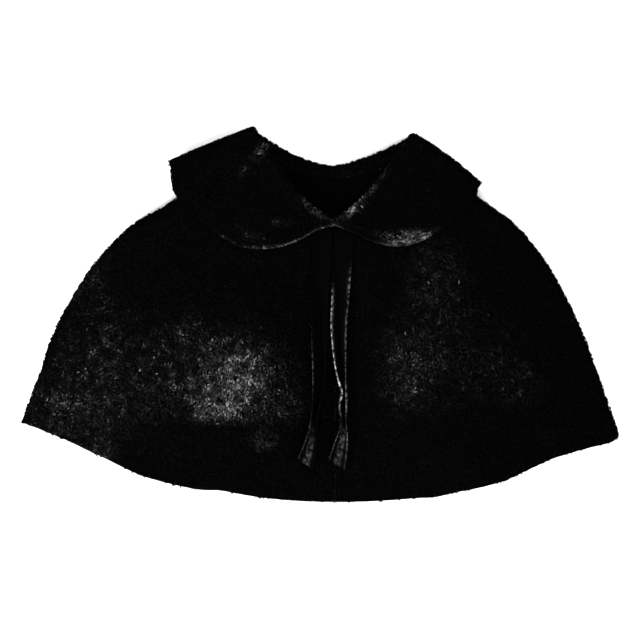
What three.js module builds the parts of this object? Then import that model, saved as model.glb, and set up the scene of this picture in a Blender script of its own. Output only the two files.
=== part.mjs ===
// A short wool cape with a wide round collar and two ribbon ties, laid flat on its back.
// It is cut as one back and two fronts, joined along the shoulders and sides, with a double
// collar that stands a little at the neck and turns over. All sizes are in millimetres: X runs
// across the cape, Y from the hem towards the neck and Z up from the surface that it lies on.
// Left and right are as seen from above.

import * as THREE from "three";

// Cloth and ribbon
const clothThickness = 2.5;
const collarThickness = 3; // two layers, sewn and turned
const ribbonThickness = 1;
const ribbonWidth = 20;

// Spaces between pieces
const seamGap = 0.3; // along the shoulder and side seams
const neckSeamGap = 0.5; // between the neck edge and the collar's stand
const restGap = 0.8; // under a piece that lies on another
const frontGap = 2; // between the two front edges

// How the cape lies
const centreX = 14.5; // the centre front and centre back lie right of the middle
const foldReach = 8; // how far in from the side fold the cloth is still turning
const seamTurn = 0.95; // how far below the side fold's outermost line its seam lies, in radians
const sideLoft = 10.5; // from the back to the front, middle to middle, beside the side fold
const centreLoft = 4.2; // the same at the centre front, where the fronts nearly touch the back
const loftReach = 0.87; // share of the way out to the side fold over which that loft grows
const collarRoll = 2.4; // radius of the turn at the top of the collar
const rollFoldReach = 5; // how far the collar takes to turn over on the shoulder, at the roll
const edgeFoldReach = 9; // the same at its outer edge
const peakTurn = 0.4; // how much less than half a turn the roll takes on the shoulder, in radians
const ledge = 36; // length over which the back comes down off the collar below it
const ledgeMargin = 6; // how far before the collar's edge the back is clear of it
const rollEase = 16; // length over which the collar comes down from its roll
const rollMargin = 30; // how far before the roll the back starts to rise towards it
const bowFrom = 0.6; // share of the way out to a shoulder at which the collar starts to bow
const tuckReach = 72; // how far from the centre front the collar is lifted by the ties under it

// Each front is filled out into one broad swell.
const swell = { height: 17, middleY: -62, reachY: 118, skew: 0.82, fullness: 1.5 };

// Both tables have a row for each of nine rings round the cape, evenly spaced from the neck to
// the hem. The first is where the rings turn over at the side folds.
const sideFolds = [
  { leftX: -80, leftY: 166, rightX: 101, rightY: 160 },
  { leftX: -114, leftY: 140, rightX: 132, rightY: 137 },
  { leftX: -148, leftY: 113, rightX: 163, rightY: 113 },
  { leftX: -187, leftY: 90, rightX: 194, rightY: 90 },
  { leftX: -220, leftY: 58, rightX: 221, rightY: 58 },
  { leftX: -247, leftY: 19, rightX: 244, rightY: 19 },
  { leftX: -268, leftY: -22, rightX: 263, rightY: -22 },
  { leftX: -281, leftY: -62, rightX: 279, rightY: -66 },
  { leftX: -298.5, leftY: -105, rightX: 298.5, rightY: -119 },
];

// The second is where they cross the centre front and centre back. Bend is the power of the
// curve from there to the side folds.
const centreLines = [
  { frontY: 88, frontBend: 1.45, backY: 136, backBend: 1.5 },
  { frontY: 60, frontBend: 1.5, backY: 99, backBend: 1.55 },
  { frontY: 27, frontBend: 1.55, backY: 60, backBend: 1.65 },
  { frontY: -8, frontBend: 1.65, backY: 20, backBend: 1.75 },
  { frontY: -44, frontBend: 1.75, backY: -21, backBend: 1.8 },
  { frontY: -80, frontBend: 1.85, backY: -62, backBend: 1.85 },
  { frontY: -116, frontBend: 1.9, backY: -103, backBend: 1.9 },
  { frontY: -152, frontBend: 1.95, backY: -144, backBend: 1.95 },
  { frontY: -187, frontBend: 2, backY: -184, backBend: 2 },
];

// Soft folds in the fronts, each rising along its line and running out over the hem. Width is
// from the line to where the fold has nearly run out, and foldRise the share of the line over
// which it grows to its height.
const foldRise = 0.625;
const frontFolds = [
  { fromX: -60, fromY: -60, toX: -104, toY: -178, width: 24, height: 2.4 },
  { fromX: -105, fromY: -45, toX: -172, toY: -162, width: 22, height: -2 },
  { fromX: -150, fromY: -20, toX: -232, toY: -138, width: 26, height: 2.2 },
  { fromX: 62, fromY: -50, toX: 92, toY: -182, width: 22, height: -2 },
  { fromX: 105, fromY: -60, toX: 158, toY: -170, width: 26, height: 3.2 },
  { fromX: 150, fromY: -20, toX: 222, toY: -146, width: 24, height: -2.2 },
];

// The roll is the line where the collar turns over at the neck. It dips at the centre front and
// centre back and rises to a peak on each shoulder.
const roll = {
  frontY: 95.5,
  backY: 147.5,
  frontBend: { left: 1.65, right: 1.4 },
  backBend: { left: 1.7, right: 1.4 },
};

// On each shoulder the collar is folded from the peak of its roll to the tip of its wing, along
// a line that bows outwards.
const shoulders = {
  left: { peakX: -66, peakY: 185.5, tipX: -151, tipY: 152, bow: 2.5 },
  right: { peakX: 91.5, peakY: 179.5, tipX: 157.5, tipY: 128, bow: 6 },
};

// The collar's outer edge on the fronts, in even steps from the centre front to the shoulder.
const collarFrontEdge = {
  left: [
    { x: 13, y: 89 },
    { x: -4, y: 85 },
    { x: -24, y: 74 },
    { x: -50, y: 67 },
    { x: -77, y: 68.5 },
    { x: -101, y: 81 },
    { x: -124, y: 101 },
    { x: -144, y: 121 },
  ],
  right: [
    { x: 16, y: 89 },
    { x: 33, y: 82.5 },
    { x: 54, y: 73 },
    { x: 77, y: 69 },
    { x: 99, y: 74 },
    { x: 120, y: 87 },
    { x: 138, y: 102 },
    { x: 152, y: 114 },
  ],
};

// The collar's outer edge under the back is a shallow curve between the tips of its wings.
const collarBackEdge = { centreY: 62, bend: 2.2 };

// The two ties, from the neck to the cut end. Curl is half the angle, in degrees, through which
// the ribbon's width is curled up.
const ties = {
  left: [
    { x: 2.2, y: 86, curl: 1.5 },
    { x: 1.8, y: 69, curl: 9 },
    { x: 1, y: 51, curl: 26 },
    { x: 0, y: 33, curl: 40 },
    { x: -0.8, y: 15, curl: 52 },
    { x: -1, y: -4, curl: 62 },
    { x: -1.2, y: -24, curl: 70 },
    { x: -1, y: -44, curl: 80 },
    { x: -1.6, y: -64, curl: 96 },
    { x: -3.5, y: -83, curl: 122 },
    { x: -6, y: -100, curl: 146 },
    { x: -8, y: -116, curl: 130 },
    { x: -10.8, y: -133, curl: 84 },
    { x: -15, y: -149, curl: 50 },
  ],
  right: [
    { x: 23.8, y: 86, curl: 1.5 },
    { x: 23, y: 70, curl: 9 },
    { x: 21.6, y: 52, curl: 26 },
    { x: 20.5, y: 34, curl: 42 },
    { x: 19.6, y: 14, curl: 55 },
    { x: 18.2, y: -6, curl: 64 },
    { x: 18.4, y: -26, curl: 82 },
    { x: 19.4, y: -46, curl: 102 },
    { x: 21.2, y: -63, curl: 130 },
    { x: 23.4, y: -77, curl: 160 },
    { x: 22.3, y: -91, curl: 138 },
    { x: 23.2, y: -105, curl: 158 },
    { x: 22, y: -119, curl: 116 },
    { x: 19.3, y: -134, curl: 76 },
    { x: 16, y: -150, curl: 48 },
  ],
};
const tieCut = { slant: 0.45, from: 0.9 }; // the ends are cut on the slant
const tieStep = 0.01; // share of a tie over which its heading is measured
const slopeStep = 0.02; // share of the way to the hem over which the slope at the neck is measured

// How many steps each stretch is divided into
const ringSteps = 20;
const frontFoldSteps = 6;
const backFoldSteps = 2;
const frontSteps = 13;
const backSteps = 20;
const collarFrontSteps = 13;
const collarFoldSteps = 6;
const collarBackSteps = 18;
const standSteps = 3;
const rollSteps = 4;
const fallSteps = 7;
const tieSteps = 32;
const tieAcrossSteps = 8;
const halvings = 14; // in the search for the ring that is level with a point

const { clamp, lerp, degToRad } = THREE.MathUtils;
const ease = (share) => THREE.MathUtils.smoothstep(share, 0, 1);
const steps = (count, from) => Array.from({ length: count }, (_, i) => from + i / count);

// The value of a column at a share of the way down its rows, on a smooth curve through them.
function readAt(rows, column, share) {
  const place = clamp(share, 0, 1) * (rows.length - 1);
  const row = Math.min(Math.floor(place), rows.length - 2);
  const t = place - row;
  const from = rows[row][column];
  const to = rows[row + 1][column];
  const before = row > 0 ? rows[row - 1][column] : 2 * from - to;
  const after = row + 2 < rows.length ? rows[row + 2][column] : 2 * to - from;
  const bend = 2 * before - 5 * from + 4 * to - after;
  const twist = 3 * (from - to) + after - before;
  return from + 0.5 * t * (to - before + t * (bend + t * twist));
}

// How far out a point lies, from 0 at the centre line to 1 at the side fold level with it.
function outwardShare(x, y) {
  const side = x < centreX ? "left" : "right";
  let above = 0;
  let below = 1;
  for (let halving = 0; halving < halvings; halving++) {
    const ring = (above + below) / 2;
    if (readAt(sideFolds, side + "Y", ring) > y) above = ring;
    else below = ring;
  }
  const foldX = readAt(sideFolds, side + "X", above);
  return clamp((x - centreX) / (foldX - centreX), 0, 1);
}

// Where a curve that starts level at the centre line has climbed to, at x.
function climb(x, centreY, end, bend) {
  const share = Math.max((x - centreX) / (end.x - centreX), 0);
  return centreY + (end.y - centreY) * share ** bend;
}

// How much higher the middle of the collar runs than the cloth that it lies on, and how much
// more than that where it rolls over
const collarRise = (clothThickness + collarThickness) / 2 + restGap;
const rollRise = 2 * collarRoll - collarRise;

// Height of the middle of the back, which lies on the surface and, near the neck, on the collar.
function backHeight(x, y) {
  const side = x < centreX ? "left" : "right";
  const { peakX, peakY, tipX, tipY } = shoulders[side];
  const edgeY = climb(x, collarBackEdge.centreY, { x: tipX, y: tipY }, collarBackEdge.bend);
  const rollY = climb(x, roll.backY, { x: peakX, y: peakY }, roll.backBend[side]);
  const overCollar = ease((y - edgeY + ledge + ledgeMargin) / ledge);
  const nearRoll = ease((y - rollY + rollMargin) / rollEase);
  return clothThickness / 2 + (collarThickness + restGap) * overCollar + rollRise * nearRoll;
}

// Height that a soft fold adds or takes away.
function foldHeight(fold, x, y) {
  const runX = fold.toX - fold.fromX;
  const runY = fold.toY - fold.fromY;
  const length = Math.hypot(runX, runY);
  const lengthwise = ((x - fold.fromX) * runX + (y - fold.fromY) * runY) / length ** 2;
  const across = ((x - fold.fromX) * runY - (y - fold.fromY) * runX) / length;
  return fold.height * ease(lengthwise / foldRise) * Math.exp(-2 * (across / fold.width) ** 2);
}

// Height of the middle of the fronts, which lie over the back and swell out on each side.
function frontHeight(x, y) {
  const outward = outwardShare(x, y);
  const loft = lerp(centreLoft, sideLoft, ease(outward / loftReach));
  const across = Math.sin(Math.PI * outward ** swell.skew) ** swell.fullness;
  const lengthwise = Math.exp(-(((y - swell.middleY) / swell.reachY) ** 2));
  const folds = frontFolds.reduce((sum, fold) => sum + foldHeight(fold, x, y), 0);
  return backHeight(x, y) + loft + across * (swell.height * lengthwise + folds);
}

// A point on the plan of one ring of the cape, at a distance in from its side fold. Layer is
// front or back, side is left or right, and ring runs from 0 at the neck to 1 at the hem.
function ringPlan(layer, side, ring, inset) {
  const foldX = readAt(sideFolds, side + "X", ring);
  const foldY = readAt(sideFolds, side + "Y", ring);
  const middleY = readAt(centreLines, layer + "Y", ring);
  const bend = readAt(centreLines, layer + "Bend", ring);
  const inward = inset / Math.hypot(foldX - centreX, foldY - middleY);
  const x = lerp(foldX, centreX, inward);
  const y = middleY + (foldY - middleY) * Math.max(1 - inward, 0) ** bend;
  return { x, y };
}

function ringReach(layer, side, ring) {
  const foldX = readAt(sideFolds, side + "X", ring);
  const foldY = readAt(sideFolds, side + "Y", ring);
  return Math.hypot(foldX - centreX, foldY - readAt(centreLines, layer + "Y", ring));
}

// Where the side fold's turn ends and the layer lies flat, from the outer edge of the cloth
const foldInset = clothThickness / 2 + foldReach;

// A point of the side fold, where the cloth turns from the front, at a quarter turn up, through
// its outermost line, at 0, to the back, at a quarter turn down.
function foldPoint(side, ring, turn) {
  const front = ringPlan("front", side, ring, foldInset);
  const back = ringPlan("back", side, ring, foldInset);
  const inset = foldInset - foldReach * Math.cos(turn);
  const upper = ringPlan("front", side, ring, inset);
  const lower = ringPlan("back", side, ring, inset);
  const share = (1 + Math.sin(turn)) / 2;
  const z = lerp(backHeight(back.x, back.y), frontHeight(front.x, front.y), share);
  return new THREE.Vector3(lerp(lower.x, upper.x, share), lerp(lower.y, upper.y, share), z);
}

// Half the seam's gap as a turn of the side fold
const seamArc = Math.hypot(foldReach * Math.sin(seamTurn), (sideLoft / 2) * Math.cos(seamTurn));
const gapTurn = seamGap / 2 / seamArc;

// A point of one layer's part of the side fold: share 0 is at the seam and 1 where the layer
// lies flat.
function turnedPoint(layer, side, ring, share) {
  const way = layer === "front" ? 1 : -1;
  return foldPoint(side, ring, lerp(way * gapTurn - seamTurn, (way * Math.PI) / 2, share));
}

// A point of a front: place runs from 0 at the side seam through 1, where the side fold's turn
// ends, to 2 at the front edge.
function frontPoint(side, ring, place) {
  if (place < 1) return turnedPoint("front", side, ring, place);
  const width = Math.abs(readAt(sideFolds, side + "X", ring) - centreX);
  const end = ringReach("front", side, ring) * (1 - frontGap / 2 / width);
  const { x, y } = ringPlan("front", side, ring, lerp(foldInset, end, place - 1));
  return new THREE.Vector3(x, y, frontHeight(x, y));
}

// A point of the back: place runs from 0 at the left seam through 1 and 3, where the turns of
// the side folds end, to 4 at the right seam.
function backPoint(ring, place) {
  if (place < 1) return turnedPoint("back", "left", ring, place);
  if (place > 3) return turnedPoint("back", "right", ring, 4 - place);
  const side = place < 2 ? "left" : "right";
  const inward = 1 - Math.abs(place - 2);
  const inset = lerp(foldInset, ringReach("back", side, ring), inward);
  const { x, y } = ringPlan("back", side, ring, inset);
  return new THREE.Vector3(x, y, backHeight(x, y));
}

// The collar's fold on a shoulder: share 0 is on top of it, 0.5 its outermost line and 1 below.
function shoulderStation(side, share) {
  const { peakX, peakY, tipX, tipY, bow } = shoulders[side];
  const peak = new THREE.Vector2(peakX, peakY);
  const tip = new THREE.Vector2(tipX, tipY);
  const run = tip.clone().sub(peak).normalize();
  const out = new THREE.Vector2(-run.y, run.x).multiplyScalar(side === "left" ? -1 : 1);
  const turn = Math.PI * share;
  const inset = 1 - Math.sin(turn);
  return {
    cape: (ring) => foldPoint(side, ring, Math.PI / 2 - turn),
    roll: peak.addScaledVector(out, -rollFoldReach * inset),
    edge: tip.addScaledVector(out, -edgeFoldReach * inset),
    bow: out.clone().multiplyScalar(bow),
    out,
    turn,
  };
}

// A station of the collar on a front, from 0 at the centre front to 1 at the shoulder.
function frontStation(side, share) {
  const end = shoulderStation(side, 0);
  const x = lerp(centreX + (Math.sign(end.roll.x) * frontGap) / 2, end.roll.x, share);
  const edgeRows = [...collarFrontEdge[side], end.edge];
  return {
    cape: (ring) => frontPoint(side, ring, 2 - share),
    roll: new THREE.Vector2(x, climb(x, roll.frontY, end.roll, roll.frontBend[side])),
    edge: new THREE.Vector2(readAt(edgeRows, "x", share), readAt(edgeRows, "y", share)),
    bow: end.bow.multiplyScalar(ease((share - bowFrom) / (1 - bowFrom))),
    out: end.out,
    turn: 0,
  };
}

// A station of the collar under the back, from -1 at the left shoulder to 1 at the right.
function backStation(share) {
  const side = share < 0 ? "left" : "right";
  const end = shoulderStation(side, 1);
  const outward = Math.abs(share);
  const rollX = lerp(centreX, end.roll.x, outward);
  const edgeX = lerp(centreX, end.edge.x, outward);
  const edgeY = climb(edgeX, collarBackEdge.centreY, end.edge, collarBackEdge.bend);
  return {
    cape: (ring) => backPoint(ring, 2 + share),
    roll: new THREE.Vector2(rollX, climb(rollX, roll.backY, end.roll, roll.backBend[side])),
    edge: new THREE.Vector2(edgeX, edgeY),
    bow: end.bow.multiplyScalar(ease((outward - bowFrom) / (1 - bowFrom))),
    out: end.out,
    turn: Math.PI,
  };
}

// A point of the collar's fall, from 0 at the roll to 1 at the outer edge.
function fallPoint(station, share) {
  const { roll: rollAt, edge, bow, turn } = station;
  const { x, y } = rollAt.clone().lerp(edge, share).addScaledVector(bow, Math.sin(Math.PI * share));
  const nearRoll = ease(1 - (share * rollAt.distanceTo(edge)) / rollEase);
  const overTies = ease(1 - Math.abs(x - centreX) / tuckReach);
  const tuck = (ribbonThickness + restGap) * overTies;
  const above = frontHeight(x, y) + collarRise + rollRise * nearRoll + tuck;
  const below = collarThickness / 2;
  return new THREE.Vector3(x, y, (above + below + (above - below) * Math.cos(turn)) / 2);
}

// The stand is a smooth curve from the neck seam, where it carries on the slope of the cape, to
// the start of the roll.
function standPoint(station, rollStart, heading, share) {
  const neck = station.cape(0);
  const slope = neck.clone().sub(station.cape(slopeStep)).normalize();
  const foot = neck.clone().addScaledVector(slope, neckSeamGap);
  const lead = foot.distanceTo(rollStart) / 3;
  const low = foot.clone().addScaledVector(slope, lead);
  const high = rollStart.clone().addScaledVector(heading, -lead);
  return new THREE.CubicBezierCurve3(foot, low, high, rollStart).getPoint(share);
}

// A point of a section of the collar: place runs from 0 at the neck seam up the stand to 1, over
// the roll to 2 and down the fall to 3 at the outer edge.
function sectionPoint(station, place) {
  const run = station.edge.clone().sub(station.roll);
  const startShare = collarRoll / run.length();
  if (place > 2) return fallPoint(station, lerp(startShare, 1, place - 2));
  const ahead = new THREE.Vector3(run.x, run.y, 0).normalize();
  const face = new THREE.Vector3(0, 0, Math.cos(station.turn));
  face.addScaledVector(new THREE.Vector3(station.out.x, station.out.y, 0), Math.sin(station.turn));
  const hub = fallPoint(station, startShare).addScaledVector(face, -collarRoll);
  const onRoll = (angle, radius) =>
    hub
      .clone()
      .addScaledVector(ahead, -radius * Math.cos(angle))
      .addScaledVector(face, radius * Math.sin(angle));
  const startAngle = peakTurn * Math.sin(station.turn) - Math.PI / 2;
  if (place > 1) return onRoll(lerp(startAngle, Math.PI / 2, place - 1), collarRoll);
  const heading = onRoll(startAngle + Math.PI / 2, 1).sub(hub);
  return standPoint(station, onRoll(startAngle, collarRoll), heading, Math.max(place, 0));
}

// A point of the collar: round runs from 0 at the left front edge through the left shoulder fold
// from 1 to 2, the back from 2 to 4 and the right shoulder fold from 4 to 5, to 6 at the right
// front edge.
function collarPoint(round, place) {
  if (round < 1) return sectionPoint(frontStation("left", Math.max(round, 0)), place);
  if (round < 2) return sectionPoint(shoulderStation("left", round - 1), place);
  if (round < 4) return sectionPoint(backStation(round - 3), place);
  if (round < 5) return sectionPoint(shoulderStation("right", 5 - round), place);
  return sectionPoint(frontStation("right", Math.min(6 - round, 1)), place);
}

// A point of a ribbon, which lies on the fronts with its long edges curled up. Share runs from
// the neck to the cut end, and place from -1 to 1 across the ribbon.
function tiePoint(rows, share, place) {
  const x = readAt(rows, "x", share);
  const y = readAt(rows, "y", share);
  const aheadX = readAt(rows, "x", share + tieStep) - readAt(rows, "x", share - tieStep);
  const aheadY = readAt(rows, "y", share + tieStep) - readAt(rows, "y", share - tieStep);
  const ahead = new THREE.Vector2(aheadX, aheadY).normalize();
  const curl = degToRad(readAt(rows, "curl", share));
  const radius = ribbonWidth / 2 / curl;
  const sideways = radius * Math.sin(curl * place);
  const forward = tieCut.slant * sideways * ease((share - tieCut.from) / (1 - tieCut.from));
  const planX = x - sideways * ahead.y + forward * ahead.x;
  const planY = y + sideways * ahead.x + forward * ahead.y;
  const lift = clothThickness / 2 + restGap + ribbonThickness / 2;
  const z = frontHeight(planX, planY) + lift + radius * (1 - Math.cos(curl * place));
  return new THREE.Vector3(planX, planY, z);
}

// A closed wall of even thickness, whose middle surface passes through pointAt(u, v).
function wall(pointAt, uValues, vValues, thickness) {
  const nudge = 0.004;
  const positions = [];
  for (const offset of [thickness / 2, -thickness / 2]) {
    for (const u of uValues) {
      for (const v of vValues) {
        const down = pointAt(u + nudge, v).sub(pointAt(u - nudge, v));
        const across = pointAt(u, v + nudge).sub(pointAt(u, v - nudge));
        const face = down.cross(across).normalize();
        positions.push(...pointAt(u, v).addScaledVector(face, offset));
      }
    }
  }
  const height = uValues.length;
  const width = vValues.length;
  const outer = (i, j) => i * width + j;
  const inner = (i, j) => (height + i) * width + j;
  const index = [];
  const quad = (a, b, c, d) => index.push(a, b, c, a, c, d);
  for (let i = 0; i < height - 1; i++) {
    for (let j = 0; j < width - 1; j++) {
      quad(outer(i, j), outer(i + 1, j), outer(i + 1, j + 1), outer(i, j + 1));
      quad(inner(i, j), inner(i, j + 1), inner(i + 1, j + 1), inner(i + 1, j));
    }
    quad(outer(i, 0), inner(i, 0), inner(i + 1, 0), outer(i + 1, 0));
    quad(outer(i, width - 1), outer(i + 1, width - 1), inner(i + 1, width - 1), inner(i, width - 1));
  }
  for (let j = 0; j < width - 1; j++) {
    quad(outer(0, j), outer(0, j + 1), inner(0, j + 1), inner(0, j));
    quad(outer(height - 1, j), inner(height - 1, j), inner(height - 1, j + 1), outer(height - 1, j + 1));
  }
  const geometry = new THREE.BufferGeometry();
  geometry.setAttribute("position", new THREE.Float32BufferAttribute(positions, 3));
  geometry.setIndex(index);
  geometry.computeVertexNormals();
  return geometry;
}

function wool() {
  return new THREE.MeshStandardMaterial({ color: 0x17171a, roughness: 0.95, metalness: 0 });
}

function satin() {
  return new THREE.MeshStandardMaterial({ color: 0x0f0f12, roughness: 0.42, metalness: 0 });
}

const rings = [...steps(ringSteps, 0), 1];

function back() {
  const flat = steps(backSteps, 0).map((share) => 1 + 2 * share);
  const places = [...steps(backFoldSteps, 0), ...flat, ...steps(backFoldSteps, 3), 4];
  return new THREE.Mesh(wall(backPoint, rings, places, clothThickness), wool());
}

function front(side) {
  const places = [...steps(frontFoldSteps, 0), ...steps(frontSteps, 1), 2];
  const pointAt = (ring, place) => frontPoint(side, ring, place);
  return new THREE.Mesh(wall(pointAt, rings, places, clothThickness), wool());
}

function collar() {
  const rounds = [
    ...steps(collarFrontSteps, 0),
    ...steps(collarFoldSteps, 1),
    ...steps(collarBackSteps, 0).map((share) => 2 + 2 * share),
    ...steps(collarFoldSteps, 4),
    ...steps(collarFrontSteps, 5),
    6,
  ];
  const places = [...steps(standSteps, 0), ...steps(rollSteps, 1), ...steps(fallSteps, 2), 3];
  return new THREE.Mesh(wall(collarPoint, rounds, places, collarThickness), wool());
}

function tie(side) {
  const pointAt = (share, place) => tiePoint(ties[side], share, place);
  const places = [...steps(tieAcrossSteps, 0), 1].map((share) => 2 * share - 1);
  return new THREE.Mesh(wall(pointAt, [...steps(tieSteps, 0), 1], places, ribbonThickness), satin());
}

const pieces = {
  back: back(),
  front_left: front("left"),
  front_right: front("right"),
  collar: collar(),
  tie_left: tie("left"),
  tie_right: tie("right"),
};

const cape = new THREE.Group();
for (const [name, piece] of Object.entries(pieces)) {
  piece.name = name;
  cape.add(piece);
}

export default cape;
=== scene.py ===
import math

import bpy
import numpy as np
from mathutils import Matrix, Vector


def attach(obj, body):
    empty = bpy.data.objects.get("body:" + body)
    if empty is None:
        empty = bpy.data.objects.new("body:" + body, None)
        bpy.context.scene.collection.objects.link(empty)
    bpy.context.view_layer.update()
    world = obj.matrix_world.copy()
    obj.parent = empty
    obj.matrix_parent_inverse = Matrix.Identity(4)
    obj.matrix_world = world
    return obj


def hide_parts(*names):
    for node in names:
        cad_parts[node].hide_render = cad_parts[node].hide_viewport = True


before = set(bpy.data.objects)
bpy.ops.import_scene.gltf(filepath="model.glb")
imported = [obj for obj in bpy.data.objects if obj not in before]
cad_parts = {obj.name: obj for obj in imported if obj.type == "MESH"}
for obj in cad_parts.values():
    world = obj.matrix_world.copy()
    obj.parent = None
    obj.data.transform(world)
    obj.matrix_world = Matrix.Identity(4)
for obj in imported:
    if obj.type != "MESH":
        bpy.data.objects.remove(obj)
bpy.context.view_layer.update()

# A short black wool cape laid flat on its back. Sizes in the dictionaries are in millimetres,
# and a mesh is turned to metres when it is made. X runs across the cape, Y from the hem towards
# the neck and Z up from the floor. Left and right are as seen from above.

metre = 0.001


# the rows of a table, with the names of their columns
def table(columns, *rows):
    return [dict(zip(columns.split(), row, strict=True)) for row in rows]


# Shape of the cape, the same as its solids but for the gaps at its side seams and centre front,
# where the shells overlap a little so that no light shows through

cape = dict(
    centreX=14.5, thickness=2.5, seamGap=-1.2, restGap=0.8, frontGap=-0.3,
    foldReach=8.0, seamTurn=0.95, sideLoft=10.5, centreLoft=4.2, loftReach=0.87,
    ledge=36.0, ledgeMargin=6.0, foldRise=0.625, creaseMargin=0.12,
    swellHeight=17.0, swellMiddleY=-62.0, swellReachY=118.0, swellSkew=0.82, swellFullness=1.5,
)

# one row for each ring, evenly from the neck to the hem: where it turns over at the sides
sideFolds = table(
    "leftX leftY rightX rightY",
    (-80, 166, 101, 160),
    (-114, 140, 132, 137),
    (-148, 113, 163, 113),
    (-187, 90, 194, 90),
    (-220, 58, 221, 58),
    (-247, 19, 244, 19),
    (-268, -22, 263, -22),
    (-281, -62, 279, -66),
    (-298.5, -105, 298.5, -119),
)

# where the same rings cross the centre front and back, and the power of the curve between
centreLines = table(
    "frontY frontBend backY backBend",
    (88, 1.45, 136, 1.5),
    (60, 1.5, 99, 1.55),
    (27, 1.55, 60, 1.65),
    (-8, 1.65, 20, 1.75),
    (-44, 1.75, -21, 1.8),
    (-80, 1.85, -62, 1.85),
    (-116, 1.9, -103, 1.9),
    (-152, 1.95, -144, 1.95),
    (-187, 2.0, -186, 2.0),
)

# how far the hem has stretched below its even curve, or drawn up above it
hemRows = table(
    "x drop",
    (-298, -2), (-284, 0.5), (-250, 3), (-214, 1), (-178, -4), (-142, -3), (-119, -2), (-100, 2),
    (-60, 0.5), (60, 0), (100, -1), (111, -3), (136, -1.5), (182, -2), (206, 2), (231, 5), (262, 2),
    (290, -4), (299, -1),
)

# the hem is turned up, which leaves a shallow groove where the turning ends
hem = dict(ease=0.15, turning=24.0, groove=0.55, grooveWidth=2.4, grooveStart=0.125, ringLength=300.0)

# broad soft folds that the fronts and their solids share
frontFolds = table(
    "fromX fromY toX toY width height",
    (-60, -60, -104, -178, 24, 2.4),
    (-105, -45, -172, -162, 22, -2.0),
    (-150, -20, -232, -138, 26, 2.2),
    (62, -50, 92, -182, 22, -2.0),
    (105, -60, 158, -170, 26, 3.2),
    (150, -20, 222, -146, 24, -2.2),
)

collar = dict(
    thickness=3.0, rollRadius=2.4, rollEase=16.0, rollMargin=30.0, tuckReach=72.0,
    rollFoldReach=5.0, edgeFoldReach=9.0, peakTurn=0.4, neckSeamGap=0.5, bowFrom=0.6, slopeStep=0.02,
    frontY=95.5, backY=147.5, backEdgeY=62.0, backEdgeBend=2.2,
    frontBend=dict(left=1.65, right=1.4), backBend=dict(left=1.7, right=1.4),
)

shoulders = dict(
    left=dict(peakX=-66, peakY=185.5, tipX=-151, tipY=151, bow=1.0),
    right=dict(peakX=91.5, peakY=179.5, tipX=159.5, tipY=129.5, bow=2.5),
)

# the collar's outer edge on the fronts, in even steps from the centre front to the shoulder
collarFrontEdge = dict(
    left=table(
        "x y", (13, 89), (-4, 85), (-24, 74), (-50, 67), (-77, 68.5), (-101, 81), (-124, 101), (-144, 121),
    ),
    right=table(
        "x y", (16, 89), (33, 82.5), (54, 73), (77, 69), (99, 74), (120, 87), (138, 102), (152, 114),
    ),
)


def ease(share):
    share = np.clip(share, 0.0, 1.0)
    return share * share * (3 - 2 * share)


def mix(start, end, share):
    return start + (end - start) * share


# the value of a column at a share of the way down its rows, on a smooth curve through them
def readAt(rows, column, share):
    values = np.array([row[column] for row in rows], float)
    ends = [2 * values[0] - values[1]], [2 * values[-1] - values[-2]]
    padded = np.concatenate([ends[0], values, ends[1]])
    place = np.clip(share, 0, 1) * (len(values) - 1)
    row = np.minimum(place.astype(int), len(values) - 2)
    t = place - row
    before, start, end, after = (padded[row + i] for i in range(4))
    bend = 2 * before - 5 * start + 4 * end - after
    twist = 3 * (start - end) + after - before
    return start + 0.5 * t * (end - before + t * (bend + t * twist))


ringTable = np.linspace(0, 1, 401)
foldTable = {name: readAt(sideFolds, name, ringTable) for name in sideFolds[0]}


# 0 at the centre line to 1 at the side fold level with the point
def outwardShare(x, y):
    def one(side):
        ring = np.interp(-y, -foldTable[side + "Y"], ringTable)
        foldX = np.interp(ring, ringTable, foldTable[side + "X"])
        return (x - cape["centreX"]) / (foldX - cape["centreX"])
    return np.clip(np.where(x < cape["centreX"], one("left"), one("right")), 0, 1)


# where a curve that starts level at the centre line has climbed to
def climb(x, centreY, endX, endY, bend):
    share = np.maximum((x - cape["centreX"]) / (endX - cape["centreX"]), 0)
    return centreY + (endY - centreY) * share ** bend


collarRise = (cape["thickness"] + collar["thickness"]) / 2 + cape["restGap"]
rollRise = 2 * collar["rollRadius"] - collarRise


def backHeight(x, y):
    def one(side):
        point = shoulders[side]
        edgeY = climb(x, collar["backEdgeY"], point["tipX"], point["tipY"], collar["backEdgeBend"])
        rollY = climb(x, collar["backY"], point["peakX"], point["peakY"], collar["backBend"][side])
        over = ease((y - edgeY + cape["ledge"] + cape["ledgeMargin"]) / cape["ledge"])
        near = ease((y - rollY + collar["rollMargin"]) / collar["rollEase"])
        return (collar["thickness"] + cape["restGap"]) * over + rollRise * near
    return cape["thickness"] / 2 + np.where(x < cape["centreX"], one("left"), one("right"))


def foldHeight(fold, x, y):
    runX, runY = fold["toX"] - fold["fromX"], fold["toY"] - fold["fromY"]
    length = math.hypot(runX, runY)
    lengthwise = ((x - fold["fromX"]) * runX + (y - fold["fromY"]) * runY) / length ** 2
    across = ((x - fold["fromX"]) * runY - (y - fold["fromY"]) * runX) / length
    return fold["height"] * ease(lengthwise / cape["foldRise"]) * np.exp(-2 * (across / fold["width"]) ** 2)


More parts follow.
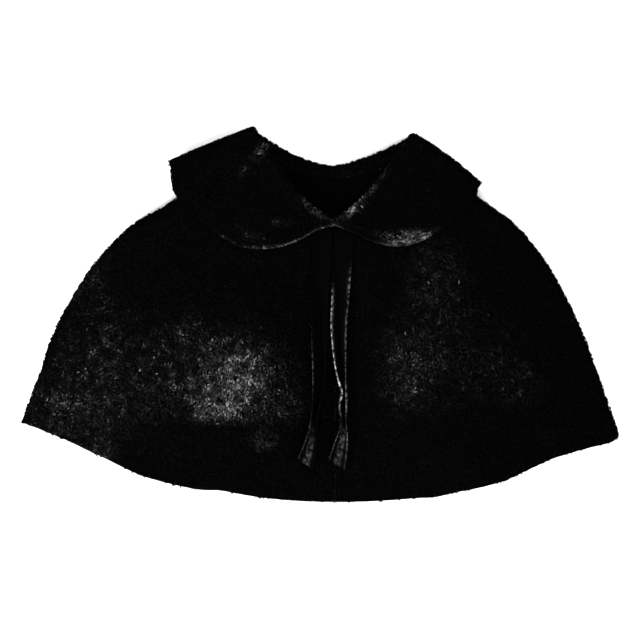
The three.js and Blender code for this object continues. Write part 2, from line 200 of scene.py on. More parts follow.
# creases on the fronts: soft ridges, and troughs where the height is less than nothing.
# Each bends sideways by its bow and fades out at both ends
frontCreases = table(
    "fromX fromY toX toY width height bow",
    (-8, -70, -74, -142, 9, 1.7, 5),
    (-28, -92, -70, -160, 7, -1.2, -4),
    (-52, 34, -92, -84, 13, -1.3, 7),
    (-74, -6, -112, -104, 11, 1.5, 6),
    (-118, 54, -176, -58, 12, 1.2, -8),
    (-150, 78, -222, -12, 10, -1.1, 6),
    (-176, -34, -206, -128, 8, -1.2, 4),
    (-196, 16, -252, -64, 11, 1.3, -5),
    (-236, -28, -272, -108, 8, -0.9, 3),
    (-38, -104, -44, -178, 8, 1.0, -3),
    (-132, -96, -146, -168, 8, 1.3, 3),
    (58, 20, 70, -96, 10, 1.6, 5),
    (78, 44, 96, -52, 9, -1.1, -5),
    (118, 62, 142, -22, 12, 1.7, 6),
    (112, -30, 124, -118, 9, -1.2, -4),
    (146, 34, 196, -74, 11, -1.2, -7),
    (170, -40, 206, -128, 9, 1.3, 4),
    (196, 34, 246, -62, 10, 1.1, 6),
    (226, -44, 262, -124, 8, -1.0, -3),
    (86, -112, 82, -176, 7, 1.1, 3),
    (44, -118, 50, -180, 8, -0.8, 2),
)

# creases of the collar, on its front half and folded shoulders
collarCreases = table(
    "fromX fromY toX toY width height bow",
    (-56, 180, -84, 128, 5, 1.7, 3),
    (-46, 166, -72, 122, 5, -1.0, 3),
    (-96, 160, -116, 104, 10, 0.9, -5),
    (-34, 132, -78, 94, 9, -0.9, 5),
    (-4, 112, -46, 84, 7, 0.8, -3),
    (96, 168, 112, 118, 7, -1.0, -4),
    (72, 148, 96, 98, 9, 0.9, 4),
    (44, 124, 78, 88, 8, -0.8, -4),
    (120, 148, 142, 112, 8, 0.9, 3),
)


def creaseHeight(crease, x, y):
    runX, runY = crease["toX"] - crease["fromX"], crease["toY"] - crease["fromY"]
    length = math.hypot(runX, runY)
    lengthwise = ((x - crease["fromX"]) * runX + (y - crease["fromY"]) * runY) / length ** 2
    fade = np.sin(np.pi * np.clip(lengthwise, 0, 1))
    across = ((x - crease["fromX"]) * runY - (y - crease["fromY"]) * runX) / length
    fromCrest = (across - crease["bow"] * fade) / crease["width"]
    return crease["height"] * fade ** 1.5 * np.exp(-2 * fromCrest ** 2)


def frontHeight(x, y):
    outward = outwardShare(x, y)
    loft = mix(cape["centreLoft"], cape["sideLoft"], ease(outward / cape["loftReach"]))
    across = np.sin(np.pi * outward ** cape["swellSkew"]) ** cape["swellFullness"]
    lengthwise = np.exp(-(((y - cape["swellMiddleY"]) / cape["swellReachY"]) ** 2))
    folds = sum(foldHeight(fold, x, y) for fold in frontFolds)
    return backHeight(x, y) + loft + across * (cape["swellHeight"] * lengthwise + folds)


# the fronts as they show, with their creases running out at the centre front and side folds
def creasedHeight(x, y):
    outward = outwardShare(x, y)
    inside = ease(outward / cape["creaseMargin"]) * ease((1 - outward) / cape["creaseMargin"])
    return frontHeight(x, y) + inside * sum(creaseHeight(crease, x, y) for crease in frontCreases)


layerHeight = dict(front=creasedHeight, back=backHeight)


def ringEnds(layer, side, ring):
    foldX = readAt(sideFolds, side + "X", ring)
    foldY = readAt(sideFolds, side + "Y", ring)
    middleY = readAt(centreLines, layer + "Y", ring)
    return foldX, foldY, middleY


def ringReach(layer, side, ring):
    foldX, foldY, middleY = ringEnds(layer, side, ring)
    return np.hypot(foldX - cape["centreX"], foldY - middleY)


# a point on the plan of one ring, at a distance in from its side fold
def ringPlan(layer, side, ring, inset):
    foldX, foldY, middleY = ringEnds(layer, side, ring)
    bend = readAt(centreLines, layer + "Bend", ring)
    inward = inset / ringReach(layer, side, ring)
    x = mix(foldX, cape["centreX"], inward)
    y = middleY + (foldY - middleY) * np.maximum(1 - inward, 0) ** bend
    drop = np.interp(x, [row["x"] for row in hemRows], [row["drop"] for row in hemRows])
    return x, y + drop * ease((ring - 1) / hem["ease"] + 1)


foldInset = cape["thickness"] / 2 + cape["foldReach"]


# a side fold, turning from the front, a quarter turn up, through its outermost line, at 0, to the
# back, a quarter turn down
def foldPoint(side, ring, turn):
    inset = foldInset - cape["foldReach"] * np.cos(turn)
    upperX, upperY = ringPlan("front", side, ring, inset)
    lowerX, lowerY = ringPlan("back", side, ring, inset)
    share = (1 + np.sin(turn)) / 2
    topZ = creasedHeight(*ringPlan("front", side, ring, foldInset))
    bottomZ = backHeight(*ringPlan("back", side, ring, foldInset))
    x, y, z = mix(lowerX, upperX, share), mix(lowerY, upperY, share), mix(bottomZ, topZ, share)
    return np.stack([x, y, z], -1)


seamArc = math.hypot(cape["foldReach"] * math.sin(cape["seamTurn"]),
                     cape["sideLoft"] / 2 * math.cos(cape["seamTurn"]))
gapTurn = cape["seamGap"] / 2 / seamArc


# one layer's part of a side fold: share 0 at the seam, 1 where the layer lies flat
def turnedPoint(layer, side, ring, share):
    way = 1 if layer == "front" else -1
    return foldPoint(side, ring, mix(way * gapTurn - cape["seamTurn"], way * np.pi / 2, share))


def laidPoint(layer, x, y):
    return np.stack([x, y, layerHeight[layer](x, y)], -1)


def pick(test, first, second):
    return np.where(test[..., None], first, second)


# place 0 at the side seam, 1 where its turn ends and 2 at the front edge
def frontPoint(side, ring, place):
    width = np.abs(readAt(sideFolds, side + "X", ring) - cape["centreX"])
    end = ringReach("front", side, ring) * (1 - cape["frontGap"] / 2 / width)
    laid = laidPoint("front", *ringPlan("front", side, ring, mix(foldInset, end, place - 1)))
    fromTurning = (1 - ring) * hem["ringLength"] - hem["turning"]
    groove = hem["groove"] * np.exp(-(fromTurning / hem["grooveWidth"]) ** 2)
    laid[..., 2] -= groove * ease((place - 1) / hem["grooveStart"])
    return pick(place < 1, turnedPoint("front", side, ring, np.minimum(place, 1)), laid)


# place 0 at the left seam, 1 and 3 where the turns end and 4 at the right seam
def backPoint(ring, place):
    def laid(side):
        inset = mix(foldInset, ringReach("back", side, ring), 1 - np.abs(place - 2))
        return laidPoint("back", *ringPlan("back", side, ring, inset))
    flat = pick(place < 2, laid("left"), laid("right"))
    left = turnedPoint("back", "left", ring, np.minimum(place, 1))
    right = turnedPoint("back", "right", ring, np.minimum(4 - place, 1))
    return pick(place < 1, left, pick(place > 3, right, flat))


def unit(vector):
    return vector / np.maximum(np.linalg.norm(vector, axis=-1, keepdims=True), 1e-9)


# a station of the collar: where it is sewn on, where it rolls over, its outer edge, how far its
# fold bows out and how far it has turned over: 0 on the fronts, half a turn under the back
def shoulderStation(side, share):
    point = shoulders[side]
    peak = np.array([point["peakX"], point["peakY"]], float)
    tip = np.array([point["tipX"], point["tipY"]], float)
    run = unit(tip - peak)
    out = np.array([-run[1], run[0]]) * (-1 if side == "left" else 1)
    turn = math.pi * share
    inset = 1 - math.sin(turn)
    return dict(
        capeAt=lambda ring: foldPoint(side, np.float64(ring), math.pi / 2 - turn),
        roll=peak - out * collar["rollFoldReach"] * inset,
        edge=tip - out * collar["edgeFoldReach"] * inset,
        bow=out * point["bow"], out=out, turn=turn,
    )


def frontStation(side, share):
    end = shoulderStation(side, 0)
    startX = cape["centreX"] + math.copysign(cape["frontGap"] / 2, end["roll"][0])
    x = mix(startX, end["roll"][0], share)
    rows = collarFrontEdge[side] + [dict(x=end["edge"][0], y=end["edge"][1])]
    edge = np.array([readAt(rows, "x", np.float64(share)), readAt(rows, "y", np.float64(share))])
    rollY = climb(x, collar["frontY"], *end["roll"], collar["frontBend"][side])
    return dict(
        capeAt=lambda ring: frontPoint(side, np.float64(ring), np.float64(2 - share)),
        roll=np.array([x, rollY]), edge=edge,
        bow=end["bow"] * ease((share - collar["bowFrom"]) / (1 - collar["bowFrom"])),
        out=end["out"], turn=0.0,
    )


def backStation(share):
    side = "left" if share < 0 else "right"
    end = shoulderStation(side, 1)
    outward = abs(share)
    rollX = mix(cape["centreX"], end["roll"][0], outward)
    rollY = climb(rollX, collar["backY"], *end["roll"], collar["backBend"][side])
    edgeX = mix(cape["centreX"], end["edge"][0], outward)
    edgeY = climb(edgeX, collar["backEdgeY"], *end["edge"], collar["backEdgeBend"])
    return dict(
        capeAt=lambda ring: backPoint(np.float64(ring), np.float64(2 + share)),
        roll=np.array([rollX, rollY]), edge=np.array([edgeX, edgeY]),
        bow=end["bow"] * ease((outward - collar["bowFrom"]) / (1 - collar["bowFrom"])),
        out=end["out"], turn=math.pi,
    )


def stationAt(around):
    if around < 1:
        return frontStation("left", around)
    if around < 2:
        return shoulderStation("left", around - 1)
    if around < 4:
        return backStation(around - 3)
    if around < 5:
        return shoulderStation("right", 5 - around)
    return frontStation("right", 6 - around)


# how the collar's outer edge swells and turns down
rim = dict(bulge=1.3, bulgeInset=11.0, bulgeWidth=8.0, dip=1.5, dipWidth=7.0, lift=0.7)


def fallPoint(station, share):
    length = np.linalg.norm(station["edge"] - station["roll"])
    share = np.atleast_1d(share)[:, None]
    plan = mix(station["roll"], station["edge"], share) + station["bow"] * np.sin(np.pi * share)
    x, y = plan[:, 0], plan[:, 1]
    near = ease(1 - share[:, 0] * length / collar["rollEase"])
    overTies = ease(1 - np.abs(x - cape["centreX"]) / collar["tuckReach"])
    tuck = (ribbon["thickness"] + cape["restGap"]) * overTies
    above = frontHeight(x, y) + collarRise + rollRise * near + tuck
    below = collar["thickness"] / 2
    z = (above + below + (above - below) * math.cos(station["turn"])) / 2
    fromEdge = (1 - share[:, 0]) * length
    edgeBell = np.exp(-((fromEdge - rim["bulgeInset"]) / rim["bulgeWidth"]) ** 2)
    relief = rim["bulge"] * edgeBell - rim["dip"] * ease(1 - fromEdge / rim["dipWidth"])
    relief = relief + sum(creaseHeight(crease, x, y) for crease in collarCreases)
    onTop = max(math.cos(station["turn"]), 0)
    return np.stack([x, y, z + onTop * (rim["lift"] + relief)], -1)


# the points of one section of the collar: places 0 to 1 are its stand, to 2 its roll, to 3 its fall
def sectionPoints(station, places):
    run = station["edge"] - station["roll"]
    startShare = collar["rollRadius"] / np.linalg.norm(run)
    ahead = np.append(unit(run), 0)
    face = np.append(station["out"] * math.sin(station["turn"]), math.cos(station["turn"]))
    hub = fallPoint(station, startShare)[0] - face * collar["rollRadius"]

    def onRoll(angle, radius):
        angle = np.atleast_1d(angle)[:, None]
        return hub - ahead * radius * np.cos(angle) + face * radius * np.sin(angle)

    startAngle = collar["peakTurn"] * math.sin(station["turn"]) - math.pi / 2
    rollStart = onRoll(startAngle, collar["rollRadius"])[0]
    heading = onRoll(startAngle + math.pi / 2, 1)[0] - hub
    neck = station["capeAt"](0)
    slope = unit(neck - station["capeAt"](collar["slopeStep"]))
    foot = neck + slope * collar["neckSeamGap"]
    lead = np.linalg.norm(rollStart - foot) / 3
    low, high = foot + slope * lead, rollStart - heading * lead
    t = np.clip(places, 0, 1)[:, None]
    bezier = ((1 - t) ** 3 * foot + 3 * (1 - t) ** 2 * t * low
              + 3 * (1 - t) * t ** 2 * high + t ** 3 * rollStart)
    rolled = onRoll(mix(startAngle, math.pi / 2, np.clip(places - 1, 0, 1)), collar["rollRadius"])
    fallen = fallPoint(station, mix(startShare, 1, np.clip(places - 2, 0, 1)))
    return pick(places <= 1, bezier, pick(places <= 2, rolled, fallen))


ribbon = dict(thickness=1.0, width=20.0, cutSlant=0.45, cutFrom=0.9, headingStep=0.01,
              edgeWidth=2.4, middleShare=0.32)

# the ties, from the neck to the cut end: half the angle through which the ribbon's width is curled,
# and how strongly its two edges and its middle carry painted highlight
ties = dict(
    left=table(
        "x y curl left right middle",
        (2.2, 86, 1.5, 0, 0, 0),
        (1.8, 69, 9, 0, 0, 0),
        (1, 51, 26, 0, 0, 0),
        (0, 33, 40, 0, 0, 0),
        (-0.8, 15, 52, 0, 0, 0),
        (-1, -4, 62, 0.05, 0, 0),
        (-1.2, -24, 70, 0.15, 0, 0),
        (-1, -44, 80, 0.34, 0, 0),
        (-1.6, -64, 96, 0.32, 0, 0),
        (-3.5, -83, 122, 0.1, 0.05, 0),
        (-6, -100, 146, 0.1, 0.05, 0),
        (-8, -116, 130, 0.3, 0.05, 0.3),
        (-10.8, -133, 84, 0.26, 0, 0.4),
        (-15, -149, 50, 0.2, 0, 0.45),
    ),
    right=table(
        "x y curl left right middle",
        (23.8, 86, 1.5, 0, 0, 0),
        (23, 70, 9, 0, 0, 0),
        (21.6, 52, 26, 0, 0.08, 0),
        (20.5, 34, 42, 0.05, 0.5, 0),
        (19.6, 14, 55, 0.75, 0.3, 0),
        (18.2, -6, 64, 0.75, 0.4, 0),
        (18.4, -26, 82, 1.05, 0.4, 0),
        (19.4, -46, 102, 1.5, 0.38, 0),
        (21.2, -63, 130, 1.5, 0.35, 0.05),
        (23.4, -77, 160, 1.0, 0.5, 0.1),
        (22.3, -91, 138, 0.55, 0.6, 0),
        (23.2, -105, 158, 0.1, 0.15, 0),
        (22, -119, 116, 0.4, 0.5, 0.5),
        (19.3, -134, 76, 0.32, 0.36, 0.36),
        (16, -150, 48, 0.2, 0.1, 0.4),
    ),
)


def tiePoint(rows, share, place):
    x, y = readAt(rows, "x", share), readAt(rows, "y", share)
    step = ribbon["headingStep"]
    aheadX = readAt(rows, "x", share + step) - readAt(rows, "x", share - step)
    aheadY = readAt(rows, "y", share + step) - readAt(rows, "y", share - step)
    length = np.hypot(aheadX, aheadY)
    aheadX, aheadY = aheadX / length, aheadY / length
    curl = np.radians(readAt(rows, "curl", share))
    radius = ribbon["width"] / 2 / curl
    sideways = radius * np.sin(curl * place)
    cut = ease((share - ribbon["cutFrom"]) / (1 - ribbon["cutFrom"]))
    forward = ribbon["cutSlant"] * sideways * cut
    planX = x - sideways * aheadY + forward * aheadX
    planY = y + sideways * aheadX + forward * aheadY
    lift = cape["thickness"] / 2 + cape["restGap"] + ribbon["thickness"] / 2
    z = creasedHeight(planX, planY) + lift + radius * (1 - np.cos(curl * place))
    return np.stack([planX, planY, z], -1)


# painted highlight on the ribbon: mostly along its woven edges
def paintedTieShine(rows, share, place):
    edge = np.where(place < 0, readAt(rows, "left", share), readAt(rows, "right", share))
    fromEdge = (1 - np.abs(place)) * ribbon["width"] / 2
    middle = readAt(rows, "middle", share) * np.exp(-(place / ribbon["middleShare"]) ** 2)
    return np.clip(np.maximum(edge * np.exp(-(fromEdge / ribbon["edgeWidth"]) ** 2), middle), 0, 1) ** 2


# Making meshes

def deselectAll():
    bpy.ops.object.select_all(action="DESELECT")


def addModifier(piece, kind, **settings):
    modifier = piece.modifiers.new(kind.title(), kind)
    for name, value in settings.items():
        setattr(modifier, name, value)
    deselectAll()
    piece.select_set(True)
    bpy.context.view_layer.objects.active = piece
    bpy.ops.object.modifier_apply(modifier=modifier.name)


# a sheet of cloth through a grid of points, with a UV map in metres along and across it
def layCloth(name, grid, thickness, paintedShine=None):
    height, width = grid.shape[:2]
    points = grid.reshape(-1, 3) * metre
    index = np.arange(height * width).reshape(height, width)
    faces = np.stack([index[:-1, :-1], index[1:, :-1], index[1:, 1:], index[:-1, 1:]], -1).reshape(-1, 4)
    mesh = bpy.data.meshes.new(name)
    mesh.from_pydata(points.tolist(), [], faces.tolist())
    down = np.linalg.norm(np.diff(grid, axis=0), axis=-1).mean(1)
    across = np.linalg.norm(np.diff(grid, axis=1), axis=-1).mean(0)
    v = np.concatenate([[0], np.cumsum(down)]) * metre
    u = np.concatenate([[0], np.cumsum(across)]) * metre
    uv = np.stack(np.broadcast_arrays(u[None, :], v[:, None]), -1).reshape(-1, 2)
    layer = mesh.uv_layers.new(name="cloth")
    corners = np.empty(len(mesh.loops), int)
    mesh.loops.foreach_get("vertex_index", corners)
    layer.data.foreach_set("uv", uv[corners].ravel())
    if paintedShine is not None:
        mesh.attributes.new("paintedShine", "FLOAT", "POINT").data.foreach_set("value", paintedShine.ravel())
    piece = bpy.data.objects.new(name, mesh)
    bpy.context.collection.objects.link(piece)
    addModifier(piece, "SOLIDIFY", thickness=thickness * metre, offset=0, use_rim=True)
    addModifier(piece, "SUBSURF", levels=1, render_levels=1)
    mesh.shade_smooth()
    return piece


# the value of a grid at fractional rows and columns, carried straight on past its edges
def sample(grid, row, column):
    i = np.clip(np.floor(row).astype(int), 0, grid.shape[0] - 2)
    j = np.clip(np.floor(column).astype(int), 0, grid.shape[1] - 2)
    a, b = (row - i)[..., None], (column - j)[..., None]
    near = mix(grid[i, j], grid[i + 1, j], a)
    far = mix(grid[i, j + 1], grid[i + 1, j + 1], a)
    return mix(near, far, b)


# even random places on a grid's surface, as fractional rows and columns
def scatter(grid, count, draw):
    rise, run = grid[1:, :-1] - grid[:-1, :-1], grid[:-1, 1:] - grid[:-1, :-1]
    area = np.linalg.norm(np.cross(rise, run), axis=-1)
    cell = np.searchsorted(np.cumsum(area.ravel()) / area.sum(), draw.random(count))
    row, column = np.divmod(np.minimum(cell, area.size - 1), area.shape[1])
    return row + draw.random(count), column + draw.random(count)


# the nap: curled, tapered locks of fibre that lie along the outer face, mostly down the cape
nap = dict(length=3.8, lengthSpread=0.4, radius=0.78, radiusSpread=0.4, curl=3.4, stray=0.6,
           lift=0.75, leastLift=0.2, archFrom=0.06, archTo=0.86, thinnest=0.6,
           clump=8.5, clumpTurn=0.75, overhang=0.25, lowest=0.05)
lockStations = np.linspace(0, 1, 4)
lockRadii = [1.0, 0.85]  # of the two rings between a lock's pointed ends
ringPlaces = [0.3, 0.7]  # of the same rings along the lock's cell in the UV map
ringAngles = np.radians([90, 210, 330])

# the waves that swirl the combing: how tight they are across and down the cape, and how far bent
swirl = dict(across=1.9, acrossBend=1.4, bendDown=0.8, bendStart=0.6, down=1.3, downBend=1.7,
             bendAcross=1.1, broadTurn=0.35, broadAcross=0.21, broadDown=0.33)


# which way the nap is combed at a place, in radians off straight down, in curly clumps
def combing(point):
    x, y = point[..., 0] / nap["clump"], point[..., 1] / nap["clump"]
    first = np.sin(swirl["across"] * x
                   + swirl["acrossBend"] * np.sin(swirl["bendDown"] * y + swirl["bendStart"]))
    second = np.sin(swirl["down"] * y - swirl["downBend"] * np.sin(swirl["bendAcross"] * x))
    broad = np.sin(swirl["broadAcross"] * x + swirl["broadDown"] * y)
    return nap["clumpTurn"] * (first + second) / 2 + swirl["broadTurn"] * broad


# rows and columns of the stations of each lock, which curls as it runs along its heading
def lockPaths(skin, row, column, downAxis, heading, draw):
    stepRow = sample(np.gradient(skin, axis=0), row, column)
    stepColumn = sample(np.gradient(skin, axis=1), row, column)
    down, other = (stepRow, stepColumn) if downAxis == 0 else (stepColumn, stepRow)
    downWay = unit(down)
    otherDown = np.sum(other * downWay, -1)
    otherSide = np.linalg.norm(other - downWay * otherDown[:, None], axis=-1)
    count = len(row)
    length = nap["length"] * (1 + nap["lengthSpread"] * draw.uniform(-1, 1, count))
    bend = nap["curl"] * draw.uniform(-1, 1, count)
    between = (lockStations[1:] + lockStations[:-1]) / 2 - 0.5
    turn = heading[:, None] + bend[:, None] * between
    pace = length[:, None] / len(between)
    start = np.zeros((count, 1))
    downs = np.concatenate([start, np.cumsum(pace * np.cos(turn), 1)], 1)
    sides = np.concatenate([start, np.cumsum(pace * np.sin(turn), 1)], 1)
    downs, sides = downs - downs.mean(1, keepdims=True), sides - sides.mean(1, keepdims=True)
    others = sides / otherSide[:, None]
    downs = (downs - others * otherDown[:, None]) / np.linalg.norm(down, axis=-1)[:, None]
    rows, columns = (downs, others) if downAxis == 0 else (others, downs)
    edge = nap["overhang"]
    return (np.clip(row[:, None] + rows, -edge, skin.shape[0] - 1 + edge),
            np.clip(column[:, None] + columns, -edge, skin.shape[1] - 1 + edge))


# the points of each lock: a pointed end, two rings of three and the other end
def lockPoints(spine, up, radius):
    ahead = unit(np.gradient(spine, axis=1))
    beside = unit(np.cross(ahead, up))
    above = np.cross(beside, ahead)
    points = [spine[:, 0]]
    for station, share in enumerate(lockRadii, start=1):
        for angle in ringAngles:
            way = above[:, station] * math.sin(angle) + beside[:, station] * math.cos(angle)
            points.append(spine[:, station] + way * (radius * share)[:, None])
    return np.stack([*points, spine[:, -1]], 1)


# the faces of one lock, each corner with its place along and round it
def lockFaces():
    faces = []
    near, far = ringPlaces
    for side in range(3):
        a, b = side, (side + 1) % 3
        left, right, middle = side / 3, (side + 1) / 3, (side + 0.5) / 3
        faces.append([(0, 0.0, middle), (1 + b, near, right), (1 + a, near, left)])
        faces.append([(1 + a, near, left), (1 + b, near, right), (4 + b, far, right), (4 + a, far, left)])
        faces.append([(4 + a, far, left), (4 + b, far, right), (7, 1.0, middle)])
    return faces


# one mesh of all the locks. Each has a cell of its own in the UV map, and its tone at every point
def joinLocks(name, points, tones):
    count, size = points.shape[:2]
    faces = lockFaces()
    corners = [corner for face in faces for corner in face]
    first = np.arange(count)[:, None] * size
    indices = (first + np.array([corner[0] for corner in corners])).ravel()
    lengths = np.tile([len(face) for face in faces], count)
    mesh = bpy.data.meshes.new(name)
    mesh.vertices.add(count * size)
    mesh.vertices.foreach_set("co", (points * metre).ravel())
    mesh.loops.add(len(indices))
    mesh.loops.foreach_set("vertex_index", indices)
    mesh.polygons.add(len(lengths))
    mesh.polygons.foreach_set("loop_start", np.concatenate([[0], np.cumsum(lengths)[:-1]]))
    mesh.polygons.foreach_set("loop_total", lengths)
    mesh.update(calc_edges=True)
    mesh.validate()
    cells = math.ceil(math.sqrt(count))
    margin = 0.1
    along, around = (np.array([corner[k] for corner in corners]) for k in (1, 2))
    cellX, cellY = np.arange(count) % cells, np.arange(count) // cells
    u = (cellX[:, None] + mix(margin, 1 - margin, along)) / cells
    v = (cellY[:, None] + mix(margin, 1 - margin, around)) / cells
    layer = mesh.uv_layers.new(name="OFBake")
    layer.data.foreach_set("uv", np.stack([u, v], -1).ravel())
    mesh.attributes.new("tone", "FLOAT", "POINT").data.foreach_set("value", np.repeat(tones, size))
    mesh.shade_smooth()
    piece = bpy.data.objects.new(name, mesh)
    bpy.context.collection.objects.link(piece)
    return piece


# locks on a cloth, with their tones: face is 1 to lay them on the side that the grid's normals
# point to, and -1 on the other. Those that would be pressed into the floor are left out
def growLocks(grid, thickness, row, column, draw, toneAt, face=1, downAxis=0, lift=1.0, along=None):
    normals = unit(np.cross(np.gradient(grid, axis=0), np.gradient(grid, axis=1))) * face
    skin = grid + normals * thickness / 2
    count = len(row)
    stray = draw.normal(0, 1, count)
    if along is None:
        heading = combing(sample(skin, row, column)) + nap["stray"] * stray
    else:
        heading = np.pi / 2 + along * stray
    rows, columns = lockPaths(skin, row, column, downAxis, heading, draw)
    radius = nap["radius"] * (1 + nap["radiusSpread"] * draw.uniform(-1, 1, count))
    rise = nap["lift"] * lift * draw.uniform(nap["leastLift"], 1, count)
    arch = np.sin(np.pi * mix(nap["archFrom"], nap["archTo"], lockStations))
    height = rise[:, None] * arch[None, :]
    up = unit(sample(normals, rows, columns))
    spine = sample(skin, rows, columns) + up * height[..., None]
    points = lockPoints(spine, up, radius * mix(nap["thinnest"], 1, lift))
    tones = toneAt(spine[:, 2], draw)  # at the middle of each lock
    clear = points[..., 2].min(1) > nap["lowest"]
    return points[clear], tones[clear]


def layNap(name, grid, thickness, count, seed, toneAt, **settings):
    draw = np.random.default_rng(seed)
    row, column = scatter(grid, count, draw)
    return joinLocks(name, *growLocks(grid, thickness, row, column, draw, toneAt, **settings))


def spread(start, end, spacing, length):
    return np.linspace(start, end, max(int(round(length / spacing)), 1) + 1)


def gridOf(pointAt, downs, acrosses):
    down, across = np.meshgrid(downs, acrosses, indexing="ij")
    return pointAt(down, across)


# how far apart the lines of each mesh are, over about what length
fronts = dict(
    down=dict(spacing=5.0, length=340), turn=dict(spacing=2.4, length=20), locks=15500,
    left=dict(spacing=5.0, length=265), right=dict(spacing=5.0, length=240),
    seed=dict(left=11, right=12), facing=dict(left=1, right=-1),
)
back = dict(
    thickness=1.6, lifted=0.3, wearAndHighlight=0.05, locks=14000, lift=0.2, seed=15,
    down=dict(spacing=6.0, length=340), turn=dict(spacing=2.4, length=6),
    across=dict(spacing=7.0, length=520),
)
collarMesh = dict(
    front=dict(spacing=4.5, length=130), shoulder=dict(spacing=2.4, length=26),
    back=dict(spacing=5.0, length=230), stand=dict(spacing=3.5, length=14),
    roll=dict(spacing=1.3, length=7.5), fall=dict(spacing=4.5, length=80), locks=13000, seed=13,
)
tieMesh = dict(
    down=dict(spacing=3.0, length=245),
    across=np.array([-1, -0.93, -0.84, -0.7, -0.45, -0.15, 0.15, 0.45, 0.7, 0.84, 0.93, 1]),
)

# patches of painted highlight: the nap is painted a lighter grey there and made silkier, the lit crests of
# the swells most. Each fades out above its lowest line, as painted shade where the cloth turns down
highlightPatches = table(
    "x y reachX reachY strength lowest",
    (-92, -78, 26, 31, 3.1, -113),
    (-68, -54, 22, 22, 0.5, -104),
    (-110, -58, 80, 54, 0.22, -112),
    (-210, -64, 60, 56, 0.29, -132),
    (-224, 40, 24, 38, 0.16, -200),
    (-36, -90, 16, 24, 0.28, -122),
    (-130, -14, 16, 12, 0.2, -200),
    (-262, -84, 28, 20, 0.28, -200),
    (-246, -106, 46, 20, 0.24, -200),
    (-222, -136, 18, 8, 0.4, -200),
    (-60, -124, 13, 10, 0.6, -200),
    (86, -54, 26, 44, 0.4, -118),
    (116, 36, 24, 32, 0.42, -200),
    (150, -40, 56, 54, 0.16, -118),
    (204, -72, 22, 20, 0.14, -200),
)

# painted highlights on the collar: only along the roll beside the neck and along its turned-down edge
collarHighlightStreaks = table(
    "fromX fromY toX toY width height bow",
    (52, 80, 104, 81, 6, 2.4, 4),
    (-88, 92, -46, 76, 6, 0.35, 6),
    (-52, 90, -24, 90, 5, 0.3, 0),
    (14, 90, 48, 122, 6, 1.9, 2),
    (36, 108, 70, 152, 3.5, 0.7, 2),
    (12, 90, -24, 124, 5, 1.1, -2),
    (-52, 172, -66, 150, 5, 0.9, 1),
    (-58, 166, -86, 124, 3.5, 0.4, 3),
)

# the locks' tones: how their wear and painted highlight spread in tufts and patches, and their painted
# glints
tone = dict(seed=21, spread=0.8, tuft=4.5, tufts=1.0, patch=13.0, patches=0.4, middle=0.08, glow=0.024,
            least=0.05, highlightFade=16.0, fleckShare=0.002, fleckLeast=0.3, fleckHighlight=4.0)
mottled = dict(width=680.0, height=440.0)  # the field that the patches fill


# an uneven value with soft patches of one size, the same for the cloth and for the nap on it
def mottle(x, y, size):
    draw = np.random.default_rng(tone["seed"])
    grid = draw.normal(0, 1, (int(mottled["width"] / size) + 2, int(mottled["height"] / size) + 2, 1))
    return sample(grid, (x + mottled["width"] / 2) / size, (y + mottled["height"] / 2) / size)[..., 0]


def tufting(x, y):
    return tone["tufts"] * mottle(x, y, tone["tuft"]) + tone["patches"] * mottle(x, y, tone["patch"])


# how grey a lock is painted, for its wear and painted highlight: uneven from lock to lock, from tuft to
# tuft and in wider patches, with a few flecks of painted glint where the highlight is
def toneOf(wearAndHighlight, point, draw):
    x, y = point[..., 0], point[..., 1]
    uneven = tone["spread"] * draw.normal(0, 1, x.shape) + tufting(x, y)
    fleck = mix(tone["fleckLeast"], 1, draw.random(x.shape)) * (draw.random(x.shape) < tone["fleckShare"])
    fleck = fleck * np.clip(tone["fleckHighlight"] * wearAndHighlight, 0, 1)
    return np.clip(np.maximum(wearAndHighlight * tone["middle"] * np.exp(uneven), fleck), 0, 1)


# painted highlight on the fronts, fading out towards each patch's lowest line as painted shade
def frontPaintedHighlight(point):
    x, y = point[..., 0], point[..., 1]
    wearAndHighlight = sum(patch["strength"] * np.exp(-((x - patch["x"]) / patch["reachX"]) ** 2
                                          - ((y - patch["y"]) / patch["reachY"]) ** 2)
               * ease((y - patch["lowest"]) / tone["highlightFade"])
               for patch in highlightPatches)
    return np.maximum(wearAndHighlight - tone["least"], 0)


def frontTone(point, draw):
    return toneOf(frontPaintedHighlight(point), point, draw)


def collarPaintedHighlight(point):
    return sum(creaseHeight(streak, point[..., 0], point[..., 1]) for streak in collarHighlightStreaks)


def collarTone(point, draw):
    return toneOf(collarPaintedHighlight(point), point, draw)


# painted highlight on the cloth too: under the highlighted nap it is painted a little lighter
def glowOf(wearAndHighlight, grid):
    return np.clip(tone["glow"] * wearAndHighlight * np.exp(tufting(grid[..., 0], grid[..., 1])), 0, 1)


# the nap on the back: an even slight wear, with no painted highlight
def backTone(point, draw):
    return toneOf(np.full(point.shape[:-1], back["wearAndHighlight"]), point, draw)


# painted highlight along the collar's turned edge: how strongly and how far in, along the front
rimHighlightRows = table(
    "x strength width",
    (-110, 0.0, 1.6), (-85, 0.35, 1.6), (-55, 1.1, 2.2), (-23, 1.4, 2.4), (-4, 1.0, 2.0),
    (12, 0.7, 2.0), (30, 0.2, 1.6), (56, 0.1, 2.0), (64, 1.1, 3.5), (78, 1.8, 6.5), (92, 1.8, 8.0),
    (104, 0.6, 5.0), (120, 0.0, 3.0),
)
rimNap = dict(count=2400, reach=11.0, stray=0.35, seed=14)


